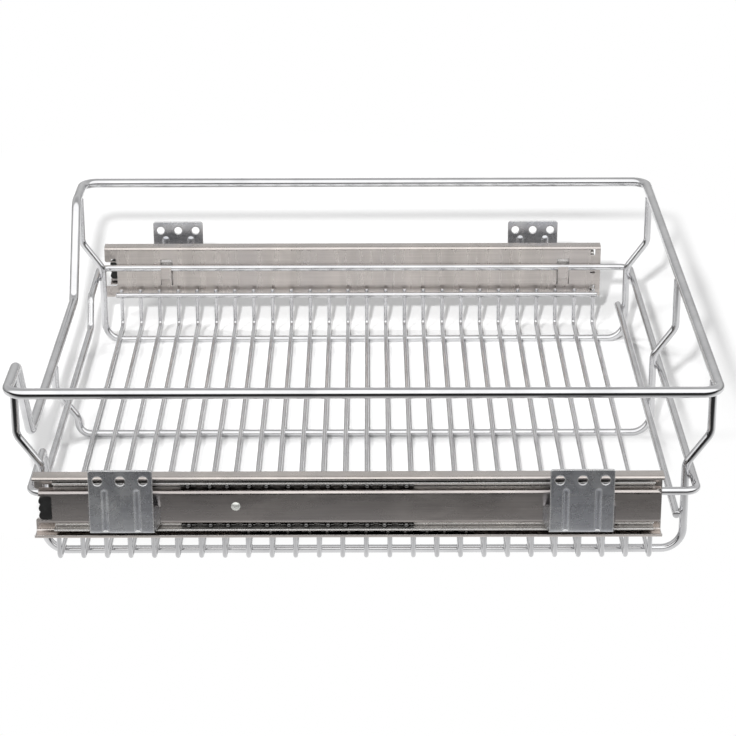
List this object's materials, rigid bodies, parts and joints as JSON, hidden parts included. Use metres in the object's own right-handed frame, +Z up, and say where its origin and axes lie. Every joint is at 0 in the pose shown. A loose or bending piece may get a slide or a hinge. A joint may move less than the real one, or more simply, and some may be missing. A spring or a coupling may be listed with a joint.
{
  "type": "pull-out cabinet basket",
  "caption": "Shallow rectangular wire basket with a lowered front, carried by telescopic ball-bearing side slides on pressed screw-on brackets.",
  "frame": {"origin": "centre of the outline in plan, level with the underside of the lowest wires", "axes": "+Z up, -Y towards the front where the basket pulls out, +X to the right seen from the front"},
  "size_m": [0.564, 0.5126, 0.1442],
  "materials": {
    "wire": "bright chrome plate on drawn wire",
    "slide_steel": "rolled sheet, zinc plated, satin",
    "cage_steel": "pressed thin sheet, zinc plated",
    "ball_steel": "polished bearing balls",
    "bracket": "pressed sheet, blue zinc plated, satin",
    "rivet_steel": "zinc plated",
    "bumper": "moulded, black"
  },
  "bodies": {
    "cabinet_side": {"inner_channel_left": "slide_steel", "bumper_left": "bumper", "bracket_front_left": "bracket", "bracket_back_left": "bracket", "rivets_left": "rivet_steel", "inner_channel_right": "slide_steel", "bumper_right": "bumper", "bracket_front_right": "bracket", "bracket_back_right": "bracket", "rivets_right": "rivet_steel"},
    "basket": {"top_rim": "wire", "mid_frame": "wire", "hoop_left": "wire", "hoop_middle": "wire", "hoop_right": "wire", "floor_wire_01": "wire", "floor_wire_02": "wire", "floor_wire_03": "wire", "floor_wire_04": "wire", "floor_wire_05": "wire", "floor_wire_06": "wire", "floor_wire_07": "wire", "floor_wire_08": "wire", "floor_wire_09": "wire", "floor_wire_10": "wire", "floor_wire_11": "wire", "floor_wire_12": "wire", "floor_wire_13": "wire", "floor_wire_14": "wire", "floor_wire_15": "wire", "floor_wire_16": "wire", "floor_wire_17": "wire", "floor_wire_18": "wire", "floor_wire_19": "wire", "floor_wire_20": "wire", "floor_wire_21": "wire", "floor_wire_22": "wire", "floor_wire_23": "wire", "floor_wire_24": "wire", "floor_wire_25": "wire", "floor_wire_26": "wire", "side_wire_left": "wire", "side_wire_right": "wire", "back_wire": "wire", "outer_channel_left": "slide_steel", "outer_channel_right": "slide_steel"},
    "middle_left": {"middle_channel_left": "slide_steel"},
    "middle_right": {"middle_channel_right": "slide_steel"},
    "inner_cage_set_left": {"inner_cage_left": "cage_steel", "inner_balls_left": "ball_steel"},
    "inner_cage_set_right": {"inner_cage_right": "cage_steel", "inner_balls_right": "ball_steel"},
    "outer_cage_set_left": {"outer_cage_left": "cage_steel", "outer_balls_left": "ball_steel"},
    "outer_cage_set_right": {"outer_cage_right": "cage_steel", "outer_balls_right": "ball_steel"}
  },
  "joints": [
    {"name": "basket_slide", "type": "slide", "parent": "cabinet_side", "child": "basket", "axis": [0, -1, 0], "range_m": [0, 0.4]},
    {"name": "middle_slide_left", "type": "slide", "parent": "cabinet_side", "child": "middle_left", "axis": [0, -1, 0], "range_m": [0, 0.2]},
    {"name": "inner_cage_slide_left", "type": "slide", "parent": "cabinet_side", "child": "inner_cage_set_left", "axis": [0, -1, 0], "range_m": [0, 0.1]},
    {"name": "outer_cage_slide_left", "type": "slide", "parent": "cabinet_side", "child": "outer_cage_set_left", "axis": [0, -1, 0], "range_m": [0, 0.3]},
    {"name": "middle_slide_right", "type": "slide", "parent": "cabinet_side", "child": "middle_right", "axis": [0, -1, 0], "range_m": [0, 0.2]},
    {"name": "inner_cage_slide_right", "type": "slide", "parent": "cabinet_side", "child": "inner_cage_set_right", "axis": [0, -1, 0], "range_m": [0, 0.1]},
    {"name": "outer_cage_slide_right", "type": "slide", "parent": "cabinet_side", "child": "outer_cage_set_right", "axis": [0, -1, 0], "range_m": [0, 0.3]}
  ],
  "couplings": [
    {"joint": "middle_slide_left", "follows": "basket_slide", "ratio": 0.5},
    {"joint": "inner_cage_slide_left", "follows": "basket_slide", "ratio": 0.25},
    {"joint": "outer_cage_slide_left", "follows": "basket_slide", "ratio": 0.75},
    {"joint": "middle_slide_right", "follows": "basket_slide", "ratio": 0.5},
    {"joint": "inner_cage_slide_right", "follows": "basket_slide", "ratio": 0.25},
    {"joint": "outer_cage_slide_right", "follows": "basket_slide", "ratio": 0.75}
  ]
}
